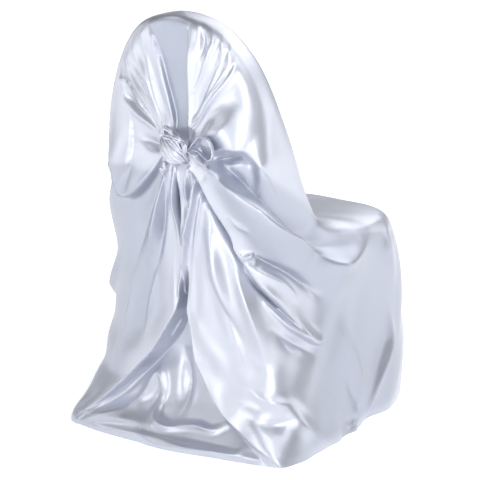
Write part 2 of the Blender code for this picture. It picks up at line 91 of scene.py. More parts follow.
# Folds in millimetres, as rows of name, girth and height of four points along the fold, rise, start, end,
# peak, left width near and far, right width near and far, and lean. Rise is the fold's height at its peak,
# which lies at that share of its run. Start and end are the shares of the rise at its two ends. Lean shifts
# the crest to the left by that share of the rise, or to the right where it is negative.
FOLDS = [
    # The left fan and the pocket beside it.
    ("left strip", -74, 908, -47, 855, -25, 786, 4, 704, 8, 0.0, 0.9, 0.50, 3, 3, 14, 8, 0.8),
    ("left pleat", -152, 818, -87, 760, -44, 712, -19, 682, 13, 0.3, 0.5, 0.50, 9, 5, 2.5, 2, 0.0),
    ("left outer pleat", -143, 794, -97, 753, -60, 716, -26, 682, 11, 0.2, 0.3, 0.50, 5, 4, 2.5, 2, 0.0),
    ("left strip crease", -120, 844, -74, 797, -50, 753, -16, 688, 11, 0.2, 0.5, 0.50,
     10, 6, 2.5, 2, 0.0),
    ("left pleat crest", -140, 827, -79, 779, -46, 731, -19, 686, 9, 0.3, 0.5, 0.50, 5, 4, 2.2, 2, 0.0),
    ("left strip line", -92, 883, -63, 819, -40, 753, -8, 694, 9, 0.3, 0.5, 0.50, 6, 4, 2.2, 2, 0.0),
    ("teardrop rim", -148, 773, -132, 745, -89, 716, -27, 681, 15, 0.4, 0.3, 0.50, 3, 3, 16, 9, 0.0),
    ("teardrop hollow", -155, 760, -125, 739, -83, 714, -50, 694, -17, 0.1, 0.0, 0.40, 5, 4, 5, 4, 0.0),
    ("teardrop top", -155, 777, -116, 771, -81, 738, -45, 702, 8, 0.5, 0.2, 0.40, 3, 3, 3, 3, 0.0),
    # The right fan.
    ("right strip", 32, 924, 50, 875, 52, 793, 53, 706, 14, 0.0, 0.8, 0.40, 14, 7, 3, 3, -0.4),
    ("right notch", 74, 924, 78, 903, 78, 874, 68, 833, -13, 0.0, 0.0, 0.40, 6, 4, 8, 5, 0.0),
    ("right notch rim", 94, 916, 102, 890, 88, 850, 61, 781, 10, 0.0, 0.3, 0.40, 9, 5, 2.5, 2, 0.0),
    ("right pleat", 128, 882, 119, 837, 99, 793, 63, 725, 9, 0.2, 0.5, 0.50, 8, 5, 2.5, 2, 0.0),
    ("right second pleat", 153, 871, 135, 834, 105, 781, 61, 715, 9, 0.2, 0.5, 0.50, 7, 4, 2.5, 2, 0.0),
    ("right outer pleat", 180, 857, 150, 822, 102, 764, 62, 702, 13, 0.0, 0.6, 0.50, 12, 7, 3, 2.5, 0.0),
    ("right outer crease", 165, 866, 142, 832, 109, 790, 77, 747, 6, 0.2, 0.3, 0.50, 4, 3, 2.2, 2, 0.0),
    ("right middle line", 140, 877, 126, 838, 102, 787, 63, 721, 4, 0.0, 0.5, 0.50, 4, 3, 2.2, 2, 0.0),
    ("fan root fill", 83, 669, 96, 688, 111, 712, 131, 739, 11, 0.6, 0.0, 0.30, 12, 18, 12, 18, 0.0),
    # The two wings beside the knot.
    ("left wing edge", -157, 595, -122, 548, -70, 587, -17, 645, 34, 0.8, 0.3, 0.40, 70, 25, 6, 4, -0.5),
    ("left wing crease", -103, 666, -64, 656, -29, 654, -4, 655, -14, 0.0, 0.5, 0.60, 16, 6, 12, 5, 0.0),
    ("right wing edge", 103, 660, 150, 680, 196, 675, 224, 642, 30, 0.4, 0.2, 0.50, 46, 60, 15, 16, -0.3),
    ("right wing hollow", 103, 614, 141, 602, 176, 585, 199, 556, -18, 0.4, 0.0, 0.30,
     14, 16, 12, 14, 0.0),
    ("right wing lip", 190, 677, 225, 642, 232, 599, 220, 559, 22, 0.0, 0.2, 0.40, 40, 30, 12, 12, 0.0),
    ("right wing fill", 95, 676, 122, 700, 150, 728, 172, 765, 14, 0.6, 0.0, 0.40, 26, 30, 26, 30, 0.0),
    ("wing shadow", 101, 632, 140, 646, 176, 652, 218, 638, -22, 0.5, 0.3, 0.40, 3, 3, 10, 9, 0.0),
    # The swag from the knot to the corner of the seat, and the folds under it.
    ("swag rim", 66, 655, 210, 536, 315, 445, 477, 375, 52, 0.3, 0.0, 0.55, 6, 18, 36, 60, 0.5),
    ("swag corner", 375, 412, 489, 374, 579, 389, 625, 423, 40, 0.0, 0.0, 0.45, 24, 30, 50, 36, 0.0),
    ("swag trough", 120, 618, 263, 504, 420, 425, 500, 418, -10, 0.1, 0.0, 0.50, 20, 30, 10, 12, 0.0),
    ("swag root", 59, 666, 100, 631, 157, 576, 214, 510, 28, 0.7, 0.0, 0.30, 8, 20, 9, 26, 0.0),
    ("swag step", 50, 644, 96, 592, 142, 511, 183, 440, 20, 0.8, 0.3, 0.40, 14, 24, 4, 5, -0.4),
    ("band crumple", 155, 525, 171, 512, 190, 503, 205, 492, 8, 0.2, 0.1, 0.50, 4, 4, 7, 7, 0.0),
    ("band pocket", 219, 438, 291, 401, 364, 361, 449, 306, -20, 0.3, 0.0, 0.55, 3, 10, 7, 14, 0.0),
    ("second fold", 170, 458, 229, 389, 288, 336, 398, 234, 28, 0.4, 0.3, 0.40, 22, 14, 4, 5, -0.5),
    ("second fold shade", 182, 405, 229, 363, 283, 330, 346, 295, -20, 0.3, 0.0, 0.40, 5, 6, 7, 8, 0.0),
    ("crumple", 184, 448, 195, 444, 208, 442, 217, 429, 12, 0.5, 0.3, 0.50, 4, 4, 5, 5, 0.0),
    ("upper facet", 199, 426, 250, 397, 307, 356, 360, 316, 22, 0.2, 0.0, 0.50, 7, 8, 12, 12, 0.0),
    ("lower facet", 244, 330, 299, 288, 351, 261, 415, 228, 20, 0.1, 0.5, 0.60, 10, 12, 5, 5, -0.3),
    ("lower facet hollow", 261, 272, 318, 246, 372, 219, 421, 183, -14, 0.1, 0.0, 0.40,
     10, 10, 16, 20, 0.0),
    ("seat corner", 724, 429, 688, 384, 717, 313, 741, 240, 10, 0.0, 0.0, 0.40, 30, 30, 16, 20, 0.0),
    # The strands and the gap under the knot.
    ("left flap crease", -12, 614, -35, 526, -60, 445, -95, 348, 22, 0.8, 0.0, 0.40, 6, 14, 7, 12, 0.0),
    ("left flap ridge", 12, 634, 7, 561, 8, 518, 22, 448, 20, 0.9, 0.5, 0.50, 4, 4, 7, 9, 0.0),
    ("gap of the flaps", 7, 627, 9, 560, 12, 507, 18, 442, -30, 0.8, 0.3, 0.50, 3, 3, 3, 3, 0.0),
    ("gap ridge", 35, 633, 32, 558, 36, 505, 40, 451, 9, 0.8, 0.3, 0.50, 3, 3, 4, 4, 0.0),
    ("right flap ridge", 66, 622, 59, 552, 38, 470, 14, 333, 24, 0.8, 0.6, 0.40, 5, 8, 5, 6, 0.0),
    ("right flap hollow", 38, 603, 37, 565, 30, 509, 23, 453, -13, 0.6, 0.0, 0.30, 6, 4, 6, 4, 0.0),
    ("right flap second ridge", 78, 583, 71, 532, 56, 464, 41, 373, 10, 0.5, 0.0, 0.30, 4, 8, 5, 8, 0.0),
    ("flap groove", 61, 595, 100, 538, 143, 469, 186, 413, -28, 0.4, 0.4, 0.30, 4, 5, 7, 9, 0.0),
    # The left flap and the sheet beside it.
    ("left flap edge", 28, 414, -15, 267, -114, 145, -219, 28, 20, 0.0, 0.3, 0.40, 4, 6, 30, 45, 0.5),
    ("left flap valley", -18, 591, -31, 492, -50, 390, -70, 334, -14, 0.5, 0.0, 0.40, 5, 12, 5, 10, 0.0),
    ("left flap streak", -45, 408, -56, 345, -68, 281, -86, 210, 11, 0.0, 0.0, 0.55, 7, 9, 5, 6, 0.0),
    ("left flap soft fold", -121, 384, -135, 294, -160, 203, -193, 108, 10, 0.0, 0.2, 0.50,
     12, 16, 12, 16, 0.0),
    ("left sheet crease", -23, 632, -60, 533, -101, 425, -152, 311, -14, 0.5, 0.0, 0.40,
     6, 14, 30, 30, 0.0),
    # The right flap.
    ("right flap edge", 31, 415, 47, 250, 132, 104, 271, 11, 22, 0.0, 0.3, 0.45, 30, 50, 4, 6, -0.5),
    ("right flap swell", 87, 525, 101, 452, 120, 365, 160, 249, 27, 0.1, 0.3, 0.45, 16, 26, 13, 24, 0.0),
    ("right flap second swell", 142, 453, 173, 367, 210, 279, 250, 182, 22, 0.0, 0.1, 0.50,
     14, 24, 14, 24, 0.0),
    ("right flap valley", 77, 399, 115, 334, 157, 272, 200, 202, -12, 0.0, 0.0, 0.50,
     10, 16, 10, 16, 0.0),
    ("right flap lower roll", 172, 159, 230, 130, 293, 117, 362, 116, 8, 0.1, 0.0, 0.50,
     12, 14, 14, 16, 0.0),
    ("right flap lower trough", 170, 94, 231, 81, 295, 80, 370, 86, -8, 0.1, 0.0, 0.50,
     10, 12, 14, 16, 0.0),
    ("flap hem shade", 13, 256, 40, 194, 68, 138, 98, 97, -9, 0.3, 0.3, 0.50, 3, 3, 4, 4, 0.0),
    # The lower rear panel and the hem under it.
    ("panel arch", -103, 64, -69, 138, -45, 105, -43, 56, 15, 0.3, 0.0, 0.45, 14, 4, 16, 10, 0.0),
    ("panel drop", -45, 105, -43, 56, -6, 40, 64, 53, 15, 0.0, 0.0, 0.40, 5, 5, 12, 9, 0.0),
    ("panel sill", -1, 41, 62, 53, 103, 52, 133, 69, 14, 0.0, 0.3, 0.50, 5, 5, 9, 9, 0.0),
    ("panel roll", -75, 60, -57, 11, -5, 2, 177, 14, 19, 0.0, 0.5, 0.60, 7, 9, 8, 9, 0.0),
    ("panel hollow", -14, 198, 4, 152, 11, 105, 10, 65, -14, 0.2, 0.2, 0.50, 12, 14, 12, 14, 0.0),
    ("panel left roll", -247, 2, -189, 27, -131, 53, -98, 88, 10, 0.2, 0.3, 0.50, 10, 10, 10, 10, 0.0),
    ("rear hem flare", -262, 4, -90, 4, 70, 4, 262, 4, 30, 0.6, 0.1, 0.35, 45, 45, 45, 45, 0.0),
    ("rear hem roll", -185, 6, -49, 12, 83, 12, 228, 10, 10, 0.3, 0.3, 0.50, 8, 8, 8, 8, 0.0),
    ("left hem swell", -222, 24, -160, 30, -90, 34, -10, 34, 9, 0.3, 0.0, 0.40, 24, 26, 9, 10, 0.0),
    # The right skirt.
    ("right skirt fold", 449, 306, 530, 184, 577, 76, 572, 7, 14, 0.0, 0.6, 0.60, 30, 16, 26, 14, 0.0),
    ("right skirt notch", 497, 168, 550, 88, 584, 34, 528, 14, -8, 0.0, 0.5, 0.80, 14, 10, 14, 10, 0.0),
    ("right rear fold", 269, 144, 340, 82, 421, 26, 501, 2, 14, 0.0, 0.2, 0.50, 24, 20, 20, 16, 0.0),
    ("right front fold", 692, 249, 711, 161, 674, 99, 635, 34, 18, 0.0, 0.5, 0.50, 20, 18, 20, 14, 0.0),
    ("right hem dip", 560, 2, 620, 3, 680, 3, 760, 2, -16, 0.0, 0.0, 0.50, 30, 30, 30, 30, 0.0),
    # The left side and the front, which are guessed.
    ("left swag rim", -200, 560, -290, 462, -430, 388, -600, 424, 40, 0.0, 0.0, 0.50,
     50, 70, 8, 10, -0.4),
    ("left second fold", -180, 420, -270, 320, -380, 240, -480, 190, 18, 0.0, 0.0, 0.50,
     8, 10, 30, 34, 0.0),
    ("left skirt fold", -470, 280, -520, 180, -540, 90, -530, 10, 14, 0.0, 0.7, 0.60,
     22, 18, 22, 18, 0.0),
    ("left front fold", -690, 260, -710, 160, -700, 80, -680, 10, 16, 0.0, 0.6, 0.60,
     22, 18, 22, 18, 0.0),
    ("front fold", 880, 330, 900, 220, 890, 110, 900, 10, 12, 0.0, 0.8, 0.70, 26, 22, 26, 22, 0.0),
    ("front left fold", -890, 340, -910, 220, -930, 110, -925, 10, 14, 0.0, 0.8, 0.70,
     28, 24, 28, 24, 0.0),
    ("front middle fold", -1010, 250, -1020, 170, -1010, 80, -1020, 10, 10, 0.0, 0.8, 0.70,
     22, 20, 22, 20, 0.0),
    ("front right fold", 1000, 280, 990, 190, 1010, 90, 1000, 10, 10, 0.0, 0.8, 0.70,
     22, 20, 22, 20, 0.0),
]

# The recessed panel between the two fans, and the lower rear panel between the two flaps, as rows of
# height, left edge, right edge and depth. The same edges also bound the painted shade on both panels.
UPPER_PANEL = np.array([
    (0.650, 0.026, 0.034, 0.000),
    (0.682, 0.017, 0.044, 0.004),
    (0.717, 0.000, 0.046, 0.006),
    (0.780, -0.022, 0.047, 0.006),
    (0.834, -0.039, 0.047, 0.006),
    (0.884, -0.056, 0.044, 0.003),
    (0.904, -0.074, 0.040, 0.0015),
    (0.930, -0.084, 0.034, 0.000),
])
LOWER_PANEL = np.array([
    (0.000, -0.262, 0.258, 0.000),
    (0.030, -0.225, 0.210, 0.002),
    (0.075, -0.178, 0.155, 0.016),
    (0.130, -0.129, 0.110, 0.032),
    (0.202, -0.060, 0.066, 0.044),
    (0.300, 0.002, 0.037, 0.040),
    (0.360, 0.016, 0.034, 0.018),
    (0.410, 0.022, 0.032, 0.000),
])
# The left sheet and flap, which get painted shade, as rows of height, left edge and right edge.
LEFT_SHEET = np.array([
    (0.000, -0.420, -0.250),
    (0.145, -0.380, -0.140),
    (0.267, -0.340, -0.050),
    (0.360, -0.310, -0.020),
    (0.450, -0.280, -0.035),
    (0.550, -0.260, -0.045),
    (0.610, -0.240, -0.020),
])
# The right side and the outside of the swag, which get a lighter painted shade, as rows of the same kind.
RIGHT_SHEET = np.array([
    (0.000, 0.380, 0.850),
    (0.200, 0.400, 0.850),
    (0.330, 0.420, 0.800),
    (0.390, 0.300, 0.760),
    (0.430, 0.200, 0.520),
    (0.520, 0.170, 0.400),
    (0.580, 0.120, 0.300),
    (0.640, 0.090, 0.180),
])
# Rays as shares of a full turn, with the angle in degrees that each takes at six reaches from the knot. The
# first and the last run up from the knot. Of the others, three run along the left flap's free edge and
# three along the right flap's.
GUIDE_REACHES = np.array([0.0, 0.30, 0.45, 0.62, 0.80, 1.0])
GUIDES = np.array([
    (-0.50, -180, -180, -180, -180, -180, -180),
    (-0.17, -52, -24, -22, -41, -64, -83),
    (-0.14, -40, -15, -13, -32, -57, -77),
    (-0.11, -30, -10, -8, -25, -50, -69),
    (0.03, 30, 20, 16, 25, 42, 66),
    (0.06, 40, 25, 21, 33, 49, 74),
    (0.09, 52, 34, 29, 40, 56, 81),
    (0.50, 180, 180, 180, 180, 180, 180),
])
# Widths of the eased edges of a panel and of a sheet with painted shade, and the heights over which the
# painted shade comes in at its low end and goes out at its high end.
PANEL_EDGE = 0.005
SHEET_EDGE = 0.05
LOW_END = 0.03
HIGH_END = 0.012
# Share of painted shade on the upper panel, then the other layers with painted shade, as rows of table,
# share of the painted shade colour and width of the edges.
UPPER_SHADE = 0.9
SHADED_LAYERS = [
    (LOWER_PANEL, 0.10, PANEL_EDGE),
    (LEFT_SHEET, 0.68, SHEET_EDGE),
    (RIGHT_SHEET, 0.62, SHEET_EDGE),
]
# A fold's bell has this power, and is worked out as far as this many widths. Its lean reaches this share of
# the width, and at least this many millimetres.
FOLD_POWER = 1.6
FOLD_REACH = 3.2
LEAN_SHARE = 0.6
LEAN_LEAST = 12.0
# Faint waves of the cloth, as rows of waves round the knot and depth in metres. They fade near the knot and
# are weaker above the fade height.
RIPPLES = [(6, 0.0024), (9, 0.0020), (14, 0.0014), (21, 0.0008)]
RIPPLE_SEED = 7
RIPPLE_GIRTH = 0.02
RIPPLE_FREE = 0.25
RIPPLE_LEAST = 0.35
RIPPLE_HEIGHT = 0.42
RIPPLE_FADE = 0.12
# The cloth swells round the knot, and its folds start within this reach of the first ring.
GATHER_GIRTH = 0.01
GATHER_RISE = 0.014
GATHER_RADIUS = 0.055
KNOT_FADE = 0.05
POLE_DEPTH = 0.004
# Folds don't lean this near the hem, and lean fully this much higher.
STEADY_HEIGHT = 0.01
STEADY_FADE = 0.03
SATIN_NAME = "ice_blue_satin"
# The row of hem stitches: its height, half its width and the depth that it seems pressed in.
STITCH_HEIGHT = 0.016
STITCH_WIDTH = 0.0011
STITCH_DEPTH = 0.0008

# Strands of the knot in millimetres from the knot's centre, as rows of towards the sitter's right, up,
# towards the rear, half width and half thickness. Each strand lies on the ones before it.
KNOT_CENTRE = np.array([-0.025, 0.3165, 0.659])
KNOT_STRANDS = {
    "core": [
        (-22, 14, -2, 5, 5), (-12, 8, 2, 18, 12), (0, 0, 3, 22, 14), (13, -9, 2, 18, 12),
        (22, -16, -2, 5, 5),
    ],
    "cross band": [
        (-34, 16, -8, 3, 2), (-24, 22, 2, 8, 4), (-6, 26, 9, 9, 5), (14, 22, 7, 8, 4),
        (28, 12, -4, 3, 2),
    ],
    "low band": [
        (-36, 4, -8, 3, 2), (-30, 0, 3, 7, 4), (-18, -10, 12, 9, 5), (-5, -22, 12, 8, 5),
        (5, -30, 3, 6, 4), (8, -36, -8, 3, 2),
    ],
    "top band": [
        (-18, 34, -8, 3, 2), (-10, 29, 4, 7, 4), (5, 18, 13, 9, 5), (19, 5, 13, 8, 5),
        (29, -7, 5, 6, 4), (34, -14, -8, 3, 2),
    ],
    "front band": [
        (-32, 20, -8, 4, 2), (-24, 16, 6, 9, 5), (-8, 6, 17, 12, 6), (8, -8, 18, 12, 6),
        (22, -21, 8, 9, 5), (28, -28, -6, 4, 2),
    ],
    "tuft": [
        (-16, 22, 4, 3, 2), (-20, 34, 9, 5, 3), (-14, 44, 10, 6, 3), (-4, 40, 11, 5, 3),
        (2, 28, 8, 3, 2),
    ],
    "small lobe": [
        (20, 12, 4, 3, 2), (29, 16, 9, 5, 3), (36, 10, 10, 6, 3), (33, -1, 9, 5, 3),
        (25, -6, 5, 3, 2),
    ],
    "crumpled end": [
        (-12, -18, 4, 4, 2), (-20, -30, 8, 8, 3), (-18, -42, 9, 7, 4), (-25, -52, 8, 9, 3),
        (-21, -62, 4, 4, 2),
    ],
}
# Grid of a strand, phase from one strand to the next, and how far in front of the knot's centre the point
# lies that its flat side faces. Then its pleats, their depth as a share of its thickness, the drift of
# their phase, and the waves of its edge with their depth as a share of its width.
STRAND_STEPS = 44
STRAND_SIDES = 36
STRAND_PHASE = 1.7
STRAND_BACK = 0.014
STRAND_PLEATS = 3.0
PLEAT_DEPTH = 0.30
PLEAT_DRIFT = 2.2
PLEAT_DRIFT_RATE = 5.0
EDGE_WAVES = 9.0
EDGE_DEPTH = 0.06
# Rim of the tie's loop in millimetres from the knot's centre, as rows of towards the sitter's right, up and
# towards the rear, and the point near the knot to which the loop's inside narrows.
LOOP_RIM = [
    (40, 4, 6), (50, 14, 9), (62, 27, 12), (76, 38, 15), (90, 37, 17), (102, 25, 17), (107, 10, 15),
    (104, -3, 14), (95, -10, 13), (82, -4, 12), (68, 4, 10), (54, 5, 8),
]
LOOP_ROOT = (50, 8, -14)
# Grid of the loop, and the share of the way to its root that its cloth runs. Then in millimetres its bulge
# to the sides and towards the front, the depth of its waves and its cloth's thickness.
LOOP_STEPS = 150
LOOP_RINGS = 40
LOOP_INNER = 0.97
LOOP_BULGE = 7.0
LOOP_SINK = 16.0
LOOP_WAVE_DEPTH = 0.8
LOOP_CLOTH = 2.2
LOOP_WAVES = 9.0

# The photograph's camera: its place, the way that it looks, and its focal length in pixels of a frame that
# is 480 pixels wide. The sensor's width is in millimetres.
CAMERA_PLACE = np.array([-3.4764, 4.9634, 2.1193])
CAMERA_AHEAD = (0.55484, -0.78506, -0.27537)
CAMERA_FOCUS = 2882.3
FRAME_WIDTH = 480
SENSOR_WIDTH = 36.0
# The floor: half its width, how far it lies below the hem, and the two reaches between which its glow rises
# to that of the far floor.
FLOOR_HALF = 12.0
FLOOR_DROP = 0.0005
GLOW_NEAR = 0.8
GLOW_FAR = 3.5
FAR_GLOW = 0.95
WORLD_COLOUR = (0.94, 0.96, 1.0, 1.0)
WHITE = (1.0, 1.0, 1.0, 1.0)
LIGHT_TARGET = (0.0, 0.0, 0.5)
# Soft boxes round the cover, as rows of name, place, width, height and share of the light power.
SOFT_BOXES = [
    ("key_box", (-1.89, 1.89, 2.86), 1.1, 1.1, 0.85),
    ("key_low_box", (-2.49, 2.49, 1.20), 1.1, 1.1, 1.15),
    ("rear_low_box", (0.00, 3.52, 1.20), 1.1, 1.1, 0.90),
    ("left_low_box", (2.49, 2.49, 1.20), 1.1, 1.1, 0.48),
    ("left_side_box", (3.52, 0.00, 1.20), 1.1, 1.1, 0.24),
    ("left_high_box", (1.89, 1.89, 2.86), 1.1, 1.1, 0.34),
    ("right_side_box", (-2.68, 0.00, 2.86), 1.1, 1.1, 0.60),
    ("right_front_box", (-2.49, -2.49, 1.20), 1.1, 1.1, 0.46),
    ("right_high_box", (-1.89, -1.89, 2.86), 1.4, 1.4, 0.60),
    ("front_high_box", (0.00, -2.68, 2.86), 3.4, 2.4, 1.90),
]


def ease(share):
    """Rises smoothly from 0 to 1 as the share goes from 0 to 1: 3 s squared less 2 s cubed."""
    share = np.clip(share, 0.0, 1.0)
    return share * share * (3.0 - 2.0 * share)


def smooth_rows(rows, values, at):
    """Values of a table at each place, on cubic curves with harmonic-mean slopes, so none overshoots."""
    gap = np.diff(rows)[:, None]
    slope = np.diff(values, axis=0) / gap
    before, after = slope[:-1], slope[1:]
    same_way = before * after > 0
    safe_before = np.where(same_way, before, 1.0)
    safe_after = np.where(same_way, after, 1.0)
    weight_1 = 2.0 * gap[1:] + gap[:-1]
    weight_2 = gap[1:] + 2.0 * gap[:-1]
    mean_slope = (weight_1 + weight_2) / (weight_1 / safe_before + weight_2 / safe_after)
    tangent = np.vstack([slope[:1], np.where(same_way, mean_slope, 0.0), slope[-1:]])
    row = np.clip(np.searchsorted(rows, at, side="right") - 1, 0, len(rows) - 2)
    t = ((at - rows[row]) / (rows[row + 1] - rows[row]))[..., None]
    span = (rows[row + 1] - rows[row])[..., None]
    low = values[row] * (2 * t**3 - 3 * t**2 + 1) + tangent[row] * span * (t**3 - 2 * t**2 + t)
    high = values[row + 1] * (3 * t**2 - 2 * t**3) + tangent[row + 1] * span * (t**3 - t**2)
    return low + high


def section_at(level):
    """Section of the plain cover at each level."""
    return smooth_rows(SECTIONS[:, 0], SECTIONS[:, 1:], level)


def plain_cover(level, heading):
    """Points of the cover without folds: superellipse loops, tilted from front to rear.

    Heading 0 faces the rear and a quarter turn the sitter's right.
    """
    section = np.moveaxis(section_at(level), -1, 0)
    z_rear, z_front, y_rear, y_front, half_width, taper, corner_rear, corner_front, dip = section
    cos, sin = np.cos(heading), np.sin(heading)
    corner = np.where(cos >= 0, corner_rear, corner_front)
    reach = (np.abs(cos) ** corner + np.abs(sin) ** corner) ** (-1.0 / corner)
    across, along = sin * reach, cos * reach
    x = -half_width * (1.0 + taper * along) * across
    y = (y_rear + y_front) / 2 + (y_rear - y_front) / 2 * along
    y = y + dip * np.clip(-along, 0, 1) ** 2 * (1.0 - across**2)
    z = z_front + (z_rear - z_front) * (along + 1.0) / 2
    return np.stack([x, y, z], axis=-1)


def level_and_heading(ray, reach):
    """Moves the centre of the round grid from the top of the cover to the knot, by a disc's own mapping."""
    pole = KNOT_LEVEL * np.exp(1j * KNOT_HEADING)
    spot = reach * np.exp(1j * ray)
    moved = (spot + pole) / (1.0 + np.conj(pole) * spot)
    return np.abs(moved), np.angle(moved)


def ray_grid(rays, rings):
    """Ray angle and reach of each grid point, rings from the knot to the hem.

    The guides steer the rays along the free edges of the flaps. Rings take even steps along the cloth,
    closer where the plain cover bends.
    """
    share = np.arange(rays) / rays - 0.5
    fine = np.linspace(FIRST_RING, 1.0, FINE_STEPS)
    guide_angles = smooth_rows(GUIDE_REACHES, GUIDES[:, 1:].T, fine)
    angles = np.radians(smooth_rows(GUIDES[:, 0], guide_angles.T, share).T)
    points = plain_cover(*level_and_heading(angles, fine[:, None]))
    step = np.diff(points, axis=0)
    length = np.linalg.norm(step, axis=-1)
    direction = step / np.maximum(length, 1e-9)[..., None]
    turn = np.linalg.norm(np.diff(direction, axis=0, prepend=direction[:1]), axis=-1)
    effort = length + BEND_WEIGHT * turn
    for _ in range(EVENING_ROUNDS):
        effort = (np.roll(effort, 1, axis=1) + effort + np.roll(effort, -1, axis=1)) / 3
    total = np.vstack([np.zeros(rays), np.cumsum(effort, axis=0)])
    total = total / total[-1]
    wanted = np.linspace(0.0, 1.0, rings) ** KNOT_CROWDING
    reach = np.stack([np.interp(wanted, total[:, k], fine) for k in range(rays)], axis=1)
    angle = np.stack([np.interp(reach[:, k], fine, angles[:, k]) for k in range(rays)], axis=1)
    return angle, reach


def chart_of(points, level, heading):
    """Girth and height of each point.

    Girth is how far the point lies in front of the rear face, plus its distance from the middle, which
    counts on past the half width where the point is at the front.
    """
    section = section_at(level)
    y_rear, half_width = section[..., 2], section[..., 4]
    side = -points[..., 0]
    across = np.where(np.cos(heading) >= 0, np.abs(side), 2 * half_width - np.abs(side))
    girth = y_rear - points[..., 1] + across
    return np.where(side >= 0, girth, -girth), points[..., 2]


def outward(points):
    """Unit normals of a grid that closes round on itself: the way to the hem crossed with the way round."""
    round_way = np.roll(points, -1, axis=1) - np.roll(points, 1, axis=1)
    hem_way = np.gradient(points, axis=0)
    normal = np.cross(hem_way, round_way)
    return normal / np.maximum(np.linalg.norm(normal, axis=-1, keepdims=True), 1e-12)


def fold_curve(corners, steps=10):
    """Smooth curve through the chart points of a fold: the cubic through each pair, with even tangents."""
    first = 2 * corners[:1] - corners[1:2]
    last = 2 * corners[-1:] - corners[-2:-1]
    line = np.vstack([first, corners, last])
    t = np.linspace(0.0, 1.0, steps + 1)[:-1, None]
    pieces = []
    for k in range(len(corners) - 1):
        a, b, c, d = line[k:k + 4]
        curve = 2 * b + (c - a) * t
        curve = curve + (2 * a - 5 * b + 4 * c - d) * t**2 + (3 * b - a - 3 * c + d) * t**3
        pieces.append(0.5 * curve)
    return np.vstack(pieces + [corners[-1:]])


def nearest_on_curve(chart, curve):
    """Signed distance to a curve, left positive, the share along it there, and the left direction."""
    start = curve[:-1]
    run = np.diff(curve, axis=0)
    length = np.linalg.norm(run, axis=1)
    way = run / length[:, None]
    offset = chart[:, None, :] - start
    travel = np.clip((offset * way).sum(-1), 0.0, length)
    miss = offset - travel[..., None] * way
    gap = np.linalg.norm(miss, axis=-1)
    best = np.argmin(gap, axis=-1)[..., None]
    before = np.concatenate([[0.0], np.cumsum(length)[:-1]])
    share = (before + travel) / length.sum()
    cross = way[:, 0] * miss[..., 1] - way[:, 1] * miss[..., 0]
    signed = np.where(cross >= 0, gap, -gap)
    left = np.stack([-way[:, 1], way[:, 0]], axis=-1)
    signed = np.take_along_axis(signed, best, axis=-1)[..., 0]
    share = np.take_along_axis(share, best, axis=-1)[..., 0]
    return signed, share, left[best[..., 0]]


def add_fold(push, shift, chart, row):
    """Adds one fold: its rise times a bell of the distance to its curve, over its width, to a power."""
    corners = np.array(row[1:9]).reshape(4, 2) * MILLIMETRE
    rise, start, end, peak, left_near, left_far, right_near, right_far, lean = row[9:]
    widest = max(left_near, left_far, right_near, right_far) * MILLIMETRE * FOLD_REACH
    low, high = corners.min(axis=0) - widest, corners.max(axis=0) + widest
    near = np.flatnonzero(((chart > low) & (chart < high)).all(axis=1))
    if not len(near):
        return
    distance, share, left = nearest_on_curve(chart[near], fold_curve(corners))
    fade_in = start + (1.0 - start) * ease(share / peak)
    fade_out = end + (1.0 - end) * ease((1.0 - share) / (1.0 - peak))
    height = rise * MILLIMETRE * fade_in * fade_out
    left_width = left_near + (left_far - left_near) * share
    right_width = right_near + (right_far - right_near) * share
    width = np.where(distance >= 0, left_width, right_width) * MILLIMETRE
    bell = np.exp(-np.abs(distance / width) ** FOLD_POWER)
    np.add.at(push, near, height * bell)
    reach = max(LEAN_SHARE * max(left_near, right_near), LEAN_LEAST) * MILLIMETRE
    near_crest = height * lean * np.exp(-(distance / reach) ** 2)
    np.add.at(shift, near, left * near_crest[:, None])


def panel_push(chart, rows):
    """Inward push of a panel that lies deeper than the cloth beside it, with an eased step at each edge."""
    girth, height = chart[:, 0], chart[:, 1]
    left, right, depth = [np.interp(height, rows[:, 0], rows[:, k]) for k in (1, 2, 3)]
    inside = ease((girth - left) / PANEL_EDGE + 0.5) * ease((right - girth) / PANEL_EDGE + 0.5)
    within = (height >= rows[0, 0]) & (height <= rows[-1, 0])
    return -depth * inside * within


def layer_shade(chart, rows, most, edge):
    """Share of painted shade in a layer: most between its edges, eased to none there and at its ends."""
    girth, height = chart[:, 0], chart[:, 1]
    left, right = [np.interp(height, rows[:, 0], rows[:, k]) for k in (1, 2)]
    across = ease((girth - left) / edge + 0.5) * ease((right - girth) / edge + 0.5)
    along = ease((height - rows[0, 0]) / LOW_END) * ease((rows[-1, 0] - height) / HIGH_END)
    return most * across * along


def ripples(share, chart):
    """Faint unevenness of the cloth: sums of cosines of the ray's share, with phases that drift along it.

    Each wave runs along the rays, like the cloth's own pull towards the knot, and fades near the knot.
    """
    dice = np.random.default_rng(RIPPLE_SEED)
    away = np.hypot(chart[..., 0] - RIPPLE_GIRTH, chart[..., 1] - KNOT_HEIGHT)
    total = np.zeros(share.shape)
    for waves, depth in RIPPLES:
        turns = dice.integers(int(0.8 * waves), int(1.2 * waves) + 1)
        drift = dice.uniform(4.0, 9.0) * np.sin(dice.uniform(3.0, 9.0) * away + dice.uniform(0.0, 6.28))
        swing = np.cos(dice.uniform(5.0, 14.0) * away + dice.uniform(0.0, 6.28)) ** 2
        total += depth * swing * np.cos(2 * np.pi * turns * share + drift)
    low = ease((RIPPLE_HEIGHT - chart[..., 1]) / RIPPLE_FADE)
    return total * ease(away / RIPPLE_FREE) * (RIPPLE_LEAST + (1.0 - RIPPLE_LEAST) * low)


